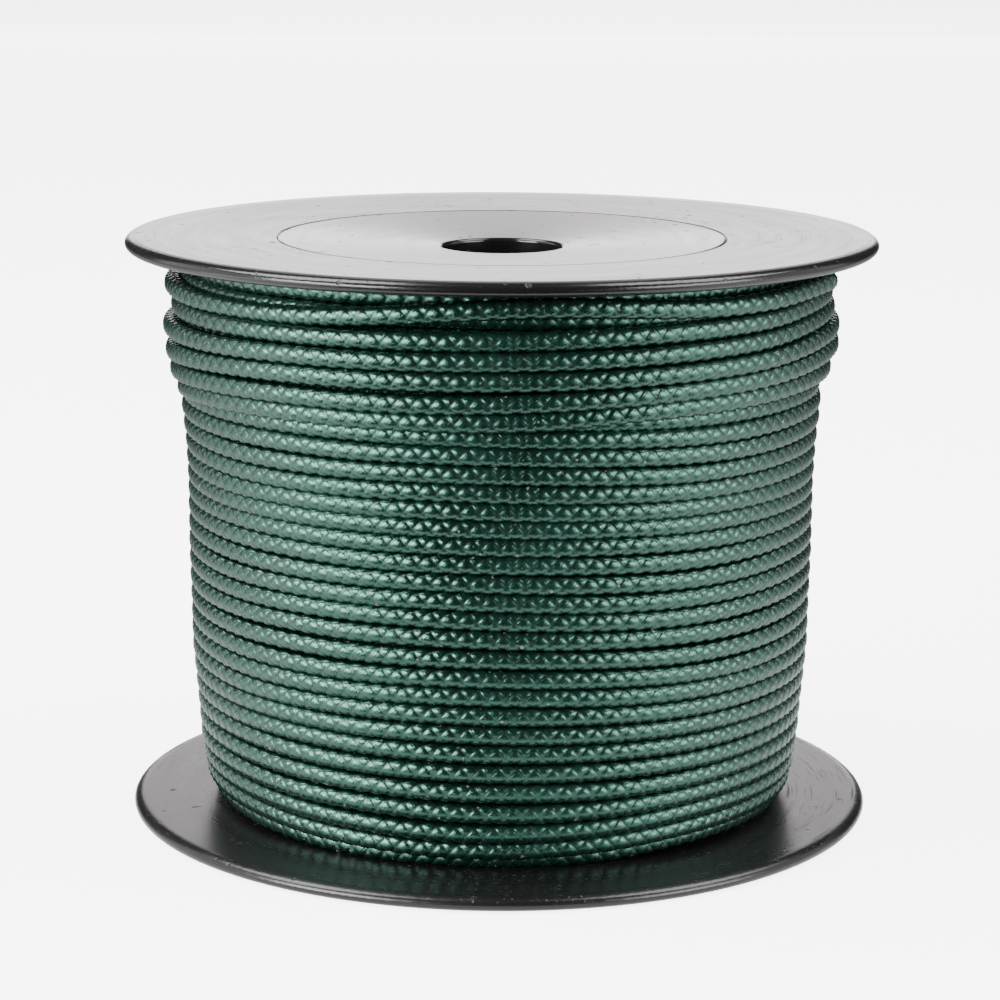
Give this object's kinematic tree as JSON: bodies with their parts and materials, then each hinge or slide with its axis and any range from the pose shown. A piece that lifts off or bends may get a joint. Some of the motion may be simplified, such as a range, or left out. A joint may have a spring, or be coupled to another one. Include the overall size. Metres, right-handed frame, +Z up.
{
  "type": "cord reel",
  "caption": "Flanged moulded plastic reel on its end, wound with braided cord, with a spindle bore through its hub.",
  "frame": {"origin": "centre of the lower rim's rest plane, on the spindle axis", "axes": "+Z up along the spindle axis; the cord's free end is on the +X side, seen from -Y"},
  "size_m": [0.128, 0.128, 0.1],
  "materials": {
    "flange_plastic": "glossy black moulded plastic, lightly scuffed",
    "hub_plastic": "glossy black moulded plastic",
    "barrel_plastic": "black moulded plastic",
    "braid": "dark green braided synthetic yarn, satin sheen"
  },
  "bodies": {
    "root": {"upper_flange": "flange_plastic", "lower_flange": "flange_plastic", "upper_hub": "hub_plastic", "lower_hub": "hub_plastic", "barrel": "barrel_plastic", "cord_winding": "braid", "cord_tail": "braid", "cord_start": "braid"}
  },
  "joints": []
}
